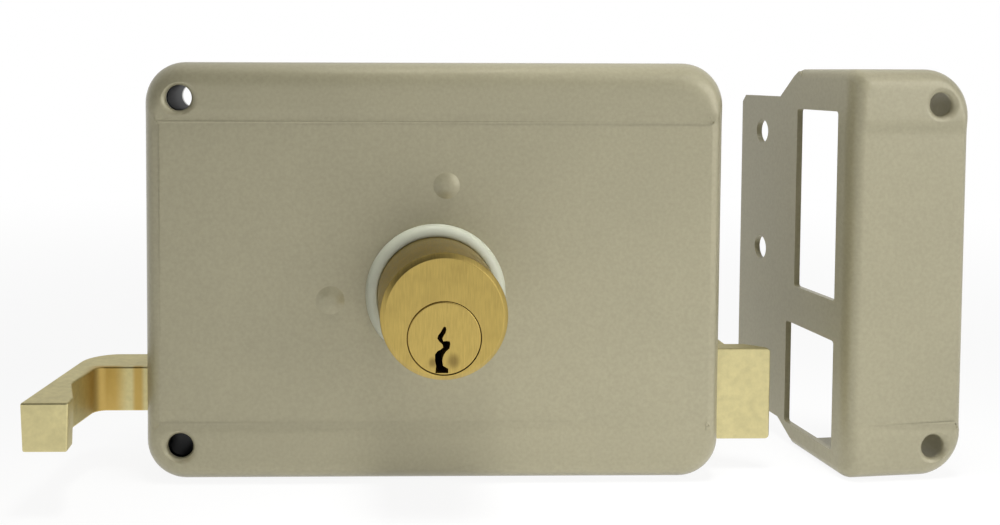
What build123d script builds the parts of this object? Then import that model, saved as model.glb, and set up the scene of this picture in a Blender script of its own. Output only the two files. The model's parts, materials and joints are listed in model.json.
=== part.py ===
from build123d import *
from math import asin, atan2, cos, degrees, hypot, pi, radians, sin
import os

# Rim box lock, in millimetres. Seen from the room, +X runs to the right towards the keeper,
# +Z is up and +Y goes into the door. The origin is the cylinder's axis in the plane of the door.

# Case
case_width = 110.0
case_top = 43.5
case_bottom = 36.5
case_depth = 22.0
sheet = 1.5
case_corner = 7.5
face_round = 5.3
side_round = 2.5
round_steps = 8
band_depth = 0.5
band_top = 32.4
band_bottom = 25.0
band_slope = 1.8

# Clearances and overruns
slide_gap = 0.3
seat_gap = 0.2
pin_gap = 0.05
overrun = 1.0

# Fixing holes at the left corners, with their tubes
fixing_inset = 6.8
fixing_top = 36.8
fixing_bottom = 29.2
fixing_hole = 4.8
fixing_dish = 7.2
fixing_dish_depth = 0.9
tube_wall = 0.6
tube_setback = 1.2

# Back plate, forend plate and the lugs that hold them in the case
plate = 1.5
tail_hole = 20.0
forend = 1.6
forend_reach = 19.0
forend_top = 33.0
forend_bottom = 27.0
forend_corner = 3.0
forend_hole = 4.5
forend_holes_above = 20.0
forend_holes_below = 14.0
forend_hole_back = 11.0
lug_width = 8.0
lug_height = 6.0
lug_depth = 7.5
lug_left_inset = 20.0
lug_right_inset = 15.0
lug_bottom_right = -2.0
screw = 3.0
screw_head = 5.6
screw_length = 7.0
screw_slot = 0.6
screw_slot_depth = 0.45

# Posts whose domed heads show on the front
dome = 4.8
dome_height = 1.0
post = 4.0
guide_post_x = 2.0
guide_post_z = 20.4
lever_post_x = -19.8
lever_post_z = -1.3
washer = 0.6
washer_size = 6.6

# Cylinder
cylinder = 22.0
cylinder_reach = 20.0
cylinder_end = 13.0
cylinder_chamfer = 0.5
collar = 26.4
collar_height = 2.5
collar_round = 1.0
groove_depth = 0.8
clip = 1.0
clip_size = 28.0
plug = 12.7
plug_drop = 3.6
plug_chamfer = 0.25
keyway_length = 25.0
pins = 5
pin_pitch = 3.6
pin_first = 5.0
pin = 2.8
pin_tip = 1.0
pin_tip_size = 1.4
key_pin_length = 5.6
driver_length = 3.0
cover = 1.2
cover_width = 4.2
spring_wall = 0.4

# Outline of the keyway, as shares of the plug's radius from its centre
keyway_shares = [(-0.03, 0.30), (0.04, 0.31), (0.03, 0.15), (-0.05, 0.0), (-0.03, -0.08), (0.15, -0.08),
                 (0.14, -0.27), (0.0, -0.42), (-0.05, -0.62), (-0.03, -0.74), (0.12, -0.82), (0.12, -1.1),
                 (-0.25, -1.1), (-0.22, -0.75), (-0.25, -0.43), (-0.18, -0.34), (-0.03, -0.24),
                 (-0.05, -0.16), (-0.14, -0.08), (-0.18, 0.04), (-0.12, 0.15)]

# Drive pinion and its rack
module = 0.8
teeth = 8
tip_share = 0.85
root_share = 1.15
tooth_tip_share = 0.22
tooth_root_share = 0.72
rack_spare_teeth = 3
rack_teeth_ahead = 1
rack_tip_share = 0.5
rack_root_share = 0.92
rack_tooth_tip_share = 0.17
rack_tooth_root_share = 0.30
drive_turn = 360.0
disc_size = 12.4
disc = 1.8
drive_screw = 1.2
drive_screw_head = 1.9
drive_screw_head_height = 0.6
drive_screw_length = 4.0
boss = 6.8
boss_length = 2.7
tail_slot = 5.2
tail_slot_width = 2.2

# Bolt works: both bolts stand in the same slice of the case's depth, measured from the door
bolt_back = 5.0
bolt_thick = 10.0
tail = 3.0
tail_back = 6.4
rivet = 3.0
tongue = 8.0
edge_break = 0.5

# Deadbolt
deadbolt_height = 33.0
deadbolt_centre = 16.1
deadbolt_length = 29.0
deadbolt_set_in = 0.4
deadbolt_tail_top = 26.0
deadbolt_tail_margin = 4.0
leaf = 0.6
leaf_gap = 0.1
leaf_anchor = 4.0
leaf_left = -31.8
leaf_drop = 5.0
leaf_reach = 30.0
leaf_touch_share = 0.8
leaf_lift_share = 0.9

# Latch
latch_height = 18.0
latch_centre = -21.4
latch_reach = 11.6
latch_travel = 11.0
latch_inside = 17.0
latch_tip = 1.0
latch_nose = 4.05
latch_nose_back = 4.0
latch_shoulder = 3.9
latch_back_extra = 0.5

# Pull lever, one casting with its hook
bar_height = 8.7
bar_centre = -20.35
bar_back = 4.0
bar_thick = 10.0
bar_inside = 17.0
hook_reach = 18.5
hook_forward = 15.3
hook_width = 8.4
hook_lip = 3.7
hook_throat = 12.7
hook_throat_front = 12.5
hook_elbow = 13.8
hook_inner = 10.6
elbow_round = 6.0
inner_round = 2.0
throat_round = 1.0

# Latch spring on its rod
rod = 3.0
rod_length = 22.0
rod_drop = 28.6
rod_back = 9.75
rod_seat = 4.0
spring_size = 6.0
bracket = 2.0
bracket_height = 7.5
bracket_foot = 6.0

# Retracting lever
lever = 2.4
lever_back = 10.3
lever_eye = 8.0
lever_arm = 6.0
lever_fork = 7.0
lever_fork_below = 3.0
lever_slot_gap = 0.35
lever_tip_reach = 12.0
lever_tip = 4.0
stud = 3.0

# Keeper, which stands beside the case turned a little towards the viewer
keeper_height = 79.0
keeper_width = 24.0
keeper_depth = 22.0
keeper_sheet = 1.2
keeper_flange = 46.2
keeper_corner = 9.0
keeper_edge = 2.0
keeper_face_round = 4.0
keeper_side_round = 2.8
keeper_x = 78.9
keeper_y = 22.7
keeper_turn = 6.15
flange_top = 36.7
flange_bottom = 32.2
flange_corner = 1.5
flange_shoulder = 28.9
flange_shoulder_low = 27.5
window_front = 6.2
window_back = 21.6
window_top = 34.3
window_low = 2.7
latch_window_back = 24.6
latch_window_top = 10.6
latch_window_low = 32.2
flange_hole = 5.0
flange_hole_back = 36.6
flange_hole_top = 28.9
flange_hole_pitch = 25.8
keeper_hole = 4.5
keeper_dish = 7.0
keeper_dish_depth = 0.7
keeper_hole_across = 17.6
keeper_hole_top = 35.8
keeper_hole_low = 30.2

# Places that follow from the sizes
right = case_width / 2
left = -right
front = -case_depth
inner_front = front + sheet
band_front = front + band_depth
plate_front = -plate
floor = -case_bottom
inner_floor = floor + sheet
inner_top = case_top - sheet
bolt_y1 = -bolt_back
bolt_y0 = bolt_y1 - bolt_thick
tail_y1 = -tail_back
tail_y0 = tail_y1 - tail
bar_y1 = -bar_back
bar_y0 = bar_y1 - bar_thick
rod_y = -rod_back
cylinder_front = front - cylinder_reach
cylinder_back = -cylinder_end
plug_r = plug / 2
pitch_r = module * teeth / 2
tooth_pitch = pi * module
throw = radians(drive_turn) * pitch_r
disc_back = cylinder_back + disc + pin_gap
lever_y1 = -lever_back
lever_y0 = lever_y1 - lever
stud_x = lever_post_x + latch_travel / 2


def block(x0, x1, y0, y1, z0, z1):
    """A box between two corners."""
    middle = Pos((x0 + x1) / 2, (y0 + y1) / 2, (z0 + z1) / 2)
    return middle * Box(x1 - x0, y1 - y0, z1 - z0)


def pin_y(x, z, size, y0, y1):
    """A round bar of a given diameter along Y."""
    return Pos(x, (y0 + y1) / 2, z) * Rot(90, 0, 0) * Cylinder(size / 2, y1 - y0)


def pin_x(y, z, size, x0, x1):
    """A round bar of a given diameter along X."""
    return Pos((x0 + x1) / 2, y, z) * Rot(0, 90, 0) * Cylinder(size / 2, x1 - x0)


def pin_z(x, y, size, z0, z1):
    """A round bar of a given diameter along Z."""
    return Pos(x, y, (z0 + z1) / 2) * Cylinder(size / 2, z1 - z0)


def plate_xz(points, y0, y1):
    """A flat plate cut to an outline drawn in X and Z."""
    outline = make_face(Polyline(*points, close=True))
    return extrude(Plane.XZ.offset(-y1) * outline, y1 - y0)


def round_corner(outline, x, y, radius):
    """Rounds the corner of a flat outline that lies nearest a point."""
    nearest = outline.vertices().sort_by_distance((x, y, 0))[0]
    return fillet(nearest, radius)


def rounded_outline(x0, x1, z0, z1, r_left, r_right):
    """A rectangle with one corner radius at the left and one at the right."""
    outline = Pos((x0 + x1) / 2, (z0 + z1) / 2) * Rectangle(x1 - x0, z1 - z0)
    corners = outline.vertices().sort_by(Axis.X)
    outline = fillet(corners[:2], r_left)
    corners = outline.vertices().sort_by(Axis.X)[-2:]
    return fillet(corners, r_right)


def pressed_box(x0, x1, z0, z1, depth, r_left, r_right, side, face):
    """A box with its front at -depth and its back at 0, whose front edges roll over an elliptical
    quarter: it reaches in by side at left and right, and by face at top and bottom."""
    body = extrude(Plane.XZ * rounded_outline(x0, x1, z0, z1, r_left, r_right), depth - face)
    sections = []
    for step in range(round_steps + 1):
        angle = pi / 2 * step / round_steps
        in_x = side * (1 - cos(angle))
        in_z = face * (1 - cos(angle))
        shrink_left = r_left - in_z * min(1, r_left / (face + side))
        shrink_right = r_right - in_z * min(1, r_right / (face + side))
        outline = rounded_outline(x0 + in_x, x1 - in_x, z0 + in_z, z1 - in_z, shrink_left, shrink_right)
        sections.append(Plane.XZ.offset(depth - face + face * sin(angle)) * outline)
    return body + loft(sections)


def dish(x, z, y, size, dished, depth):
    """A hole through the front sheet with a dished mouth."""
    hole = pin_y(x, z, size, y - overrun, y + sheet + overrun)
    widen = overrun * (dished - size) / depth
    mouth = Pos(x, y + (depth - overrun) / 2, z) * Rot(90, 0, 0) * Cone(
        size / 2, (dished + widen) / 2, depth + overrun)
    return hole + mouth


def bolt_window(x0, x1, z0, z1, y0, y1):
    """A window that leaves a sliding bolt its gap all round."""
    return block(x0, x1, y0 - slide_gap, y1 + slide_gap, z0 - slide_gap, z1 + slide_gap)


def forend_windows(x0, x1):
    """The windows that the two bolts pass at the case's right side."""
    low = deadbolt_centre - deadbolt_height / 2
    high = deadbolt_centre + deadbolt_height / 2
    latch_low = latch_centre - latch_height / 2
    latch_high = latch_centre + latch_height / 2
    dead = bolt_window(x0, x1, low, high, bolt_y0, bolt_y1)
    spring_bolt = bolt_window(x0, x1, latch_low, latch_high, bolt_y0, bolt_y1 + latch_back_extra)
    return dead + spring_bolt


def case_shell():
    outer = pressed_box(left, right, floor, case_top, case_depth, case_corner, case_corner,
                        side_round, face_round)
    inner = pressed_box(left + sheet, right - sheet, inner_floor, inner_top, case_depth - sheet,
                        case_corner - sheet, case_corner - sheet, side_round - sheet, face_round - sheet)
    band = [(front - overrun, band_top + band_slope), (front, band_top + band_slope),
            (band_front, band_top), (band_front, -band_bottom), (front, -band_bottom - band_slope),
            (front - overrun, -band_bottom - band_slope)]
    cut = extrude(Plane.YZ.offset(left - overrun) * make_face(Polyline(*band, close=True)),
                  case_width + 2 * overrun)
    shell = outer - inner - cut
    for z in (fixing_top, -fixing_bottom):
        shell -= dish(left + fixing_inset, z, front, fixing_hole, fixing_dish, fixing_dish_depth)
    shell -= pin_y(0, 0, cylinder + 2 * pin_gap, front - overrun, inner_front + overrun)
    for x, z in ((guide_post_x, guide_post_z), (lever_post_x, lever_post_z)):
        shell -= pin_y(x, z, post + 2 * pin_gap, front - overrun, inner_front + overrun)
    shell -= forend_windows(right - sheet - overrun, right + overrun)
    bar_low = bar_centre - bar_height / 2
    shell -= bolt_window(left - overrun, left + sheet + overrun, bar_low, bar_low + bar_height,
                         bar_y0, bar_y1)
    return shell


def screw_places():
    """Where the back plate's screws enter the lugs, as X, Z and the side of the wall."""
    top = inner_top - lug_height / 2
    low = inner_floor + lug_height / 2
    return [(left + lug_left_inset, top), (right - lug_right_inset, top), (left + lug_left_inset, low),
            (lug_bottom_right, low)]


def case_lugs():
    lugs = []
    for x, z in screw_places():
        lug = block(x - lug_width / 2, x + lug_width / 2, plate_front - lug_depth, plate_front,
                    z - lug_height / 2, z + lug_height / 2)
        lugs.append(lug - pin_y(x, z, screw + 2 * pin_gap, plate_front - screw_length, 0))
    return lugs


def screw_head_depth():
    return (screw_head - screw) / 2


def back_plate_screws():
    screws = []
    for x, z in screw_places():
        shank = pin_y(x, z, screw, plate_front - screw_length + overrun, -screw_head_depth())
        head = Pos(x, -screw_head_depth() / 2, z) * Rot(90, 0, 0) * Cone(
            screw_head / 2, screw / 2, screw_head_depth())
        slot = block(x - screw_head, x + screw_head, -screw_slot_depth, overrun,
                     z - screw_slot / 2, z + screw_slot / 2)
        screws.append(shank + head - slot)
    return screws


def back_plate():
    outline = rounded_outline(left + sheet + seat_gap, right - sheet - forend - seat_gap,
                              inner_floor + seat_gap, inner_top - seat_gap,
                              case_corner - sheet, case_corner - sheet - forend)
    body = extrude(Plane.XZ * outline, plate)
    body -= pin_y(0, 0, tail_hole, plate_front - overrun, overrun)
    for z in (fixing_top, -fixing_bottom):
        body -= pin_y(left + fixing_inset, z, fixing_hole, plate_front - overrun, overrun)
    for x, z in screw_places():
        body -= pin_y(x, z, screw + 2 * pin_gap, plate_front - overrun, overrun)
        mouth = screw_head_depth() + pin_gap
        body -= Pos(x, -mouth / 2, z) * Rot(90, 0, 0) * Cone(
            screw_head / 2 + pin_gap, screw / 2 + pin_gap, mouth)
    return body


def forend_plate():
    """The guide inside the right wall, which runs on as the flange on the door's edge."""
    x1 = right - sheet
    x0 = x1 - forend
    inside_top = inner_top - case_corner
    inside = block(x0, x1, inner_front + face_round, 0, -case_bottom + case_corner, inside_top)
    flange = Pos(forend_reach / 2, (forend_top - forend_bottom) / 2) * Rectangle(
        forend_reach, forend_top + forend_bottom)
    flange = fillet(flange.vertices().sort_by(Axis.X)[-2:], forend_corner)
    flange = extrude(Plane.YZ.offset(x0) * flange, forend)
    body = inside + flange
    for z in (forend_holes_above, -forend_holes_below):
        body -= pin_x(forend_hole_back, z, forend_hole, x0 - overrun, x1 + overrun)
    return body - forend_windows(x0 - overrun, x1 + overrun)


def fixing_tubes():
    tubes = []
    outer = fixing_hole + 2 * tube_wall
    for z in (fixing_top, -fixing_bottom):
        x = left + fixing_inset
        y0 = inner_front + tube_setback
        tube = pin_y(x, z, outer, y0, plate_front)
        tubes.append(tube - pin_y(x, z, fixing_hole, y0 - overrun, plate_front + overrun))
    return tubes


def domed_post(x, z, y_end):
    """A post through the front sheet, with a low domed head outside."""
    ball = ((dome / 2) ** 2 + dome_height ** 2) / (2 * dome_height)
    head = Pos(x, band_front - dome_height + ball, z) * Sphere(ball)
    head -= block(x - 2 * ball, x + 2 * ball, band_front, band_front + 2 * ball, z - 2 * ball, z + 2 * ball)
    return head + pin_y(x, z, post, band_front, y_end)


def guide_post():
    return domed_post(guide_post_x, guide_post_z, plate_front)


def lever_post():
    collar_y = lever_y0 - pin_gap
    body = domed_post(lever_post_x, lever_post_z, lever_y1 + pin_gap + washer)
    return body + pin_y(lever_post_x, lever_post_z, washer_size, inner_front, collar_y)


def lever_washer():
    y0 = lever_y1 + pin_gap
    ring = pin_y(lever_post_x, lever_post_z, washer_size, y0, y0 + washer)
    return ring - pin_y(lever_post_x, lever_post_z, post, y0 - overrun, y0 + washer + overrun)


def pin_places():
    return [cylinder_front + pin_first + pin_pitch * n for n in range(pins)]


def chamber_cover_blank(gap):
    """The strip let into the cylinder's top, or its slot when a gap is given."""
    y0 = cylinder_front + pin_first - pin
    y1 = pin_places()[-1] + pin / 2 + pin_gap
    strip = block(-cover_width / 2 - gap, cover_width / 2 + gap, y0 - gap, y1 + gap,
                  cylinder / 2 - cover - gap, cylinder / 2 + overrun)
    return strip


def cylinder_body():
    body = pin_y(0, 0, cylinder, cylinder_front, cylinder_back)
    rim = body.edges().filter_by(GeomType.CIRCLE).sort_by(Axis.Y)[0]
    body = chamfer(rim, cylinder_chamfer)
    body -= pin_y(0, -plug_drop, plug + 2 * pin_gap, cylinder_front - overrun, cylinder_back + overrun)
    groove = pin_y(0, 0, cylinder + 2 * overrun, inner_front, inner_front + clip + 2 * pin_gap)
    body -= groove - pin_y(0, 0, cylinder - 2 * groove_depth, inner_front - overrun, front + case_depth)
    for y in pin_places():
        body -= pin_z(0, y, pin + 2 * pin_gap, -plug_drop, cylinder / 2)
    return body - chamber_cover_blank(pin_gap)


def chamber_cover():
    strip = chamber_cover_blank(0)
    return strip & pin_y(0, 0, cylinder, cylinder_front, cylinder_back)


def collar_ring():
    ring = pin_y(0, 0, collar, band_front - collar_height, band_front)
    rim = ring.edges().filter_by(GeomType.CIRCLE).sort_by(Axis.Y)[0]
    ring = fillet(rim, collar_round)
    return ring - pin_y(0, 0, cylinder + 2 * pin_gap, cylinder_front, 0)


def retaining_clip():
    y0 = inner_front + pin_gap
    inner = cylinder - 2 * groove_depth + 2 * pin_gap
    ring = pin_y(0, 0, clip_size, y0, y0 + clip)
    ring -= pin_y(0, 0, inner, y0 - overrun, y0 + clip + overrun)
    return ring - block(-inner / 2, inner / 2, y0 - overrun, y0 + clip + overrun, -clip_size, 0)


def plug_core():
    body = pin_y(0, -plug_drop, plug, cylinder_front, cylinder_back)
    rim = body.edges().filter_by(GeomType.CIRCLE).sort_by(Axis.Y)[0]
    body = chamfer(rim, plug_chamfer)
    points = [(x * plug_r, z * plug_r - plug_drop) for x, z in keyway_shares]
    body -= plate_xz(points, cylinder_front - overrun, cylinder_front + keyway_length)
    for y in pin_places():
        body -= pin_z(0, y, pin + 2 * pin_gap, -plug_drop, plug_r - plug_drop + overrun)
    for x in drive_screw_places():
        body -= pin_y(x, -plug_drop, drive_screw + 2 * pin_gap,
                      cylinder_back - drive_screw_length + disc, cylinder_back + overrun)
    return body


def shear_line():
    """How high a key pin may stand in the plug so that its flat top clears the bore as it turns."""
    return plug_r * cos(asin(pin / plug)) - plug_drop - pin_gap / 2


def key_pins():
    solids = []
    top = shear_line()
    for y in pin_places():
        body = pin_z(0, y, pin, top - key_pin_length + pin_tip, top)
        tip = Pos(0, y, top - key_pin_length + pin_tip / 2) * Cone(pin_tip_size / 2, pin / 2, pin_tip)
        solids.append(body + tip)
    return solids


def driver_pins():
    low = plug_r - plug_drop + 2 * pin_gap
    return [pin_z(0, y, pin, low, low + driver_length) for y in pin_places()]


def pin_springs():
    low = plug_r - plug_drop + 2 * pin_gap + driver_length
    high = cylinder / 2 - cover
    springs = []
    for y in pin_places():
        sleeve = pin_z(0, y, pin, low, high)
        springs.append(sleeve - pin_z(0, y, pin - 2 * spring_wall, low - overrun, high + overrun))
    return springs


def drive_screw_places():
    reach = (pitch_r + module + disc_size / 2) / 2
    return (-reach, reach)


def tooth_points():
    """The pinion's outline: straight-sided teeth, narrower than the rack's gaps."""
    tip = pitch_r + module * tip_share
    root = pitch_r - module * root_share
    points = []
    for n in range(teeth):
        middle = 2 * pi * (n + 1 / 2) / teeth
        half_tip = module * tooth_tip_share / tip
        half_root = module * tooth_root_share / root
        for radius, angle in ((root, -half_root), (tip, -half_tip), (tip, half_tip), (root, half_root)):
            turn = middle + angle
            points.append((radius * sin(turn), radius * cos(turn) - plug_drop))
    return points


def drive_pinion():
    """The disc on the plug's end, the pinion and the slotted boss for an outer tail bar."""
    z = -plug_drop
    gear_y1 = tail_y1 + slide_gap
    body = pin_y(0, z, disc_size, cylinder_back + pin_gap, disc_back)
    body += pin_y(0, z, 2 * (pitch_r - module * root_share), disc_back, tail_y0 - slide_gap)
    body += plate_xz(tooth_points(), tail_y0 - slide_gap, gear_y1)
    body += pin_y(0, z, boss, gear_y1, gear_y1 + boss_length)
    body -= block(-tail_slot / 2, tail_slot / 2, gear_y1, gear_y1 + boss_length + overrun,
                  z - tail_slot_width / 2, z + tail_slot_width / 2)
    for x in drive_screw_places():
        body -= pin_y(x, z, drive_screw + 2 * pin_gap, cylinder_back - overrun, disc_back + overrun)
    return body


def drive_screws():
    screws = []
    for x in drive_screw_places():
        shank = pin_y(x, -plug_drop, drive_screw, disc_back - drive_screw_length + overrun / 2, disc_back)
        head = pin_y(x, -plug_drop, drive_screw_head, disc_back,
                     disc_back + drive_screw_head_height)
        screws.append(shank + head)
    return screws


def rack_points(x_start, count, z_pitch):
    """The rack's toothed lower edge, from left to right. Its tooth gaps lie on the pinion's teeth."""
    tip = z_pitch - module * rack_tip_share
    root = z_pitch + module * rack_root_share
    points = []
    for n in range(count):
        middle = x_start + tooth_pitch * n
        points.append((middle - tooth_pitch * rack_tooth_root_share, root))
        points.append((middle - tooth_pitch * rack_tooth_tip_share, tip))
        points.append((middle + tooth_pitch * rack_tooth_tip_share, tip))
        points.append((middle + tooth_pitch * rack_tooth_root_share, root))
    return points


def deadbolt_front():
    return right - deadbolt_set_in


def deadbolt_head():
    x1 = deadbolt_front()
    x0 = x1 - deadbolt_length
    z0 = deadbolt_centre - deadbolt_height / 2
    z1 = z0 + deadbolt_height
    head = block(x0, x1, bolt_y0, bolt_y1, z0, z1)
    head = chamfer(head.faces().sort_by(Axis.X)[-1].edges(), edge_break)
    head -= block(x0 - overrun, x0 + tongue, tail_y0, tail_y1, z0 - overrun, deadbolt_tail_top)
    for x, z in deadbolt_rivet_places():
        head -= pin_y(x, z, rivet + 2 * pin_gap, bolt_y0 - overrun, bolt_y1 + overrun)
    return head


def deadbolt_rivet_places():
    x = deadbolt_front() - deadbolt_length + tongue / 2
    return [(x, deadbolt_tail_top * share) for share in (1 / 4, 3 / 4)]


def deadbolt_tail():
    """The tail plate: rack below, slot on the guide post above, tongue in the head at the right."""
    z_pitch = pitch_r - plug_drop
    count = int(round(throw / tooth_pitch)) + rack_spare_teeth
    first = tooth_pitch * (rack_teeth_ahead + 1 - count)
    teeth_line = rack_points(first, count, z_pitch)
    x0 = teeth_line[0][0] - deadbolt_tail_margin
    x1 = deadbolt_front() - deadbolt_length + tongue
    root = teeth_line[0][1]
    outline = [(x0, deadbolt_tail_top), (x0, root)] + teeth_line + [(x1, root), (x1, deadbolt_tail_top)]
    body = plate_xz(outline, tail_y0, tail_y1)
    slot_r = post / 2 + pin_gap
    slot_left = guide_post_x - throw
    body -= block(slot_left, guide_post_x, tail_y0 - overrun, tail_y1 + overrun,
                  guide_post_z - slot_r, guide_post_z + slot_r)
    for x in (slot_left - slide_gap, guide_post_x + slide_gap):
        body -= pin_y(x, guide_post_z, 2 * slot_r, tail_y0 - overrun, tail_y1 + overrun)
    for x, z in deadbolt_rivet_places():
        body -= pin_y(x, z, rivet + 2 * pin_gap, tail_y0 - overrun, tail_y1 + overrun)
    return body


def deadbolt_rivets():
    return [pin_y(x, z, rivet, bolt_y0, bolt_y1) for x, z in deadbolt_rivet_places()]


def deadbolt_spring():
    """A leaf that bears on the top edge of the tail and holds the bolt where it is put."""
    x0 = leaf_left
    z_rest = deadbolt_tail_top + leaf_gap
    z_top = z_rest + leaf_drop
    lower = [(x0, z_top), (x0 + leaf_reach * leaf_touch_share, z_rest),
             (x0 + leaf_reach * leaf_lift_share, z_rest), (x0 + leaf_reach, z_rest + leaf)]
    upper = [(x, z + leaf) for x, z in reversed(lower)]
    strip = plate_xz(lower + upper, tail_y0, tail_y1)
    anchor = block(x0 - leaf_anchor, x0, tail_y0, plate_front, z_top - leaf, z_top + leaf_anchor)
    return strip + anchor


def latch_bolt():
    """The spring bolt: flat in front, and bevelled behind, where it meets the keeper."""
    x_in = right - latch_inside
    x_tip = right + latch_reach
    back = bolt_y1 + latch_back_extra
    points = [(x_in, bolt_y0), (x_tip, bolt_y0), (x_tip, bolt_y0 + latch_tip),
              (x_tip - latch_nose_back, bolt_y0 + latch_nose),
              (right + latch_shoulder, bolt_y0 + latch_nose), (right + latch_shoulder, back), (x_in, back)]
    z0 = latch_centre - latch_height / 2
    outline = make_face(Polyline(*points, close=True))
    body = extrude(Plane.XY.offset(z0) * outline, latch_height)
    bar_low = bar_centre - bar_height / 2
    body -= block(x_in - overrun, x_in + tongue, tail_y0, tail_y1, bar_low, bar_low + bar_height)
    body -= pin_x(rod_y, -rod_drop, rod + 2 * pin_gap, x_in - overrun, x_in + rod_seat)
    return body - pin_y(x_in + tongue / 2, bar_centre, rivet + 2 * pin_gap, bolt_y0 - overrun,
                        back + overrun)


def slide_left():
    """Where the slide's left end sits in the pull lever's slot."""
    return left + bar_inside - tongue


def latch_slide():
    x1 = right - latch_inside + tongue
    low = bar_centre - bar_height / 2
    body = block(slide_left(), x1, tail_y0, tail_y1, low, low + bar_height)
    for x in (x1 - tongue / 2, slide_left() + tongue / 2):
        body -= pin_y(x, bar_centre, rivet + 2 * pin_gap, tail_y0 - overrun, tail_y1 + overrun)
    return body - pin_y(stud_x, bar_centre, stud + 2 * pin_gap, tail_y0 - overrun, tail_y1 + overrun)


def latch_rivet():
    x = right - latch_inside + tongue / 2
    return pin_y(x, bar_centre, rivet, bolt_y0, bolt_y1 + latch_back_extra)


def pull_rivet():
    return pin_y(slide_left() + tongue / 2, bar_centre, rivet, bar_y0, bar_y1)


def slide_stud():
    return pin_y(stud_x, bar_centre, stud, lever_y0, tail_y1)


def pull_lever():
    """The bar through the left wall and its hook, which a finger pulls away from the case."""
    inner = left + bar_inside
    tip_y = front - hook_forward
    far = left - hook_reach
    lip_x = far + hook_width
    throat_y = tip_y + hook_throat_front
    points = [(inner, bar_y1), (left - hook_elbow, bar_y1), (far, tip_y), (lip_x, tip_y),
              (lip_x, tip_y + hook_lip), (left - hook_throat, throat_y), (left - hook_inner, bar_y0),
              (inner, bar_y0)]
    outline = make_face(Polyline(*points, close=True))
    outline = round_corner(outline, left - hook_elbow, bar_y1, elbow_round)
    outline = round_corner(outline, left - hook_inner, bar_y0, inner_round)
    outline = round_corner(outline, left - hook_throat, throat_y, throat_round)
    low = bar_centre - bar_height / 2
    body = extrude(Plane.XY.offset(low) * outline, bar_height)
    body -= block(slide_left(), inner + overrun, tail_y0, tail_y1, low - overrun, low + bar_height + overrun)
    return body - pin_y(slide_left() + tongue / 2, bar_centre, rivet + 2 * pin_gap, bar_y0 - overrun,
                        bar_y1 + overrun)


def bracket_x():
    """The spring bracket's right face."""
    return right - latch_inside - rod_length + bracket + overrun


def spring_rod():
    x1 = right - latch_inside
    return pin_x(rod_y, -rod_drop, rod, x1 - rod_length, x1 + rod_seat)


def latch_spring():
    x0 = bracket_x()
    x1 = right - latch_inside
    sleeve = pin_x(rod_y, -rod_drop, spring_size, x0, x1)
    return sleeve - pin_x(rod_y, -rod_drop, spring_size - 4 * spring_wall, x0 - overrun, x1 + overrun)


def spring_bracket():
    x1 = bracket_x()
    z1 = bar_centre - bar_height / 2 - slide_gap
    z0 = z1 - bracket_height
    ear = block(x1 - bracket, x1, rod_y - spring_size / 2, plate_front, z0, z1)
    foot = block(x1 - bracket - bracket_foot, x1, plate_front - bracket, plate_front, z0, z1)
    return ear + foot - pin_x(rod_y, -rod_drop, rod + 2 * pin_gap, x1 - bracket - overrun, x1 + overrun)


def lever_lean():
    """How far the lever leans from upright at rest, half of its whole swing."""
    return degrees(atan2(latch_travel / 2, lever_post_z - bar_centre))


def retracting_lever():
    """A bell crank on its post: a fork on the slide's stud and a short arm beside the drive disc."""
    drop = hypot(latch_travel / 2, lever_post_z - bar_centre)
    eye = pin_y(0, 0, lever_eye, lever_y0, lever_y1)
    end = -drop - lever_fork_below
    arm = plate_xz([(-lever_arm / 2, 0), (-lever_fork / 2, end), (lever_fork / 2, end), (lever_arm / 2, 0)],
                   lever_y0, lever_y1)
    slot_half = stud / 2 + lever_slot_gap
    arm -= block(-slot_half, slot_half, lever_y0 - overrun, lever_y1 + overrun, end - overrun,
                 -drop + stud / 2 + overrun)
    turned = Pos(lever_post_x, 0, lever_post_z) * Rot(0, -lever_lean(), 0) * (eye + arm)
    nose = plate_xz([(lever_post_x, lever_post_z + lever_eye / 2),
                     (lever_post_x + lever_tip_reach, lever_post_z + lever_tip / 2),
                     (lever_post_x + lever_tip_reach, lever_post_z - lever_tip / 2),
                     (lever_post_x, lever_post_z - lever_eye / 4)], lever_y0, lever_y1)
    body = turned + nose
    return body - pin_y(lever_post_x, lever_post_z, post + 2 * pin_gap, lever_y0 - overrun, lever_y1 + overrun)


def keeper_box():
    """The pressed box, open at the back, in the keeper's own axes: X across its front, Y back."""
    wall = keeper_sheet
    z0 = floor
    z1 = floor + keeper_height
    outer = pressed_box(0, keeper_width, z0, z1, keeper_depth, keeper_edge, keeper_corner,
                        keeper_side_round, keeper_face_round)
    inner = pressed_box(wall, keeper_width - wall, z0 + wall, z1 - wall, keeper_depth - wall,
                        keeper_edge - wall / 2, keeper_corner - wall, keeper_side_round - wall,
                        keeper_face_round - wall)
    return Pos(0, keeper_depth, 0) * (outer - inner)


def keeper_flange_plate():
    """The side wall's run towards the back, with its shoulders at the top and the bottom."""
    low = floor + keeper_edge
    high = floor + keeper_height - keeper_edge
    start = keeper_depth - 2 * keeper_sheet
    outline = [(start, low), (keeper_depth, low - keeper_sheet / 2),
               (flange_shoulder_low, -flange_bottom), (keeper_flange, -flange_bottom),
               (keeper_flange, flange_top - flange_corner), (keeper_flange - flange_corner, flange_top),
               (flange_shoulder, flange_top), (keeper_depth + keeper_sheet, high + keeper_sheet / 2),
               (start, high)]
    return extrude(Plane.YZ * make_face(Polyline(*outline, close=True)), keeper_sheet)


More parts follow.
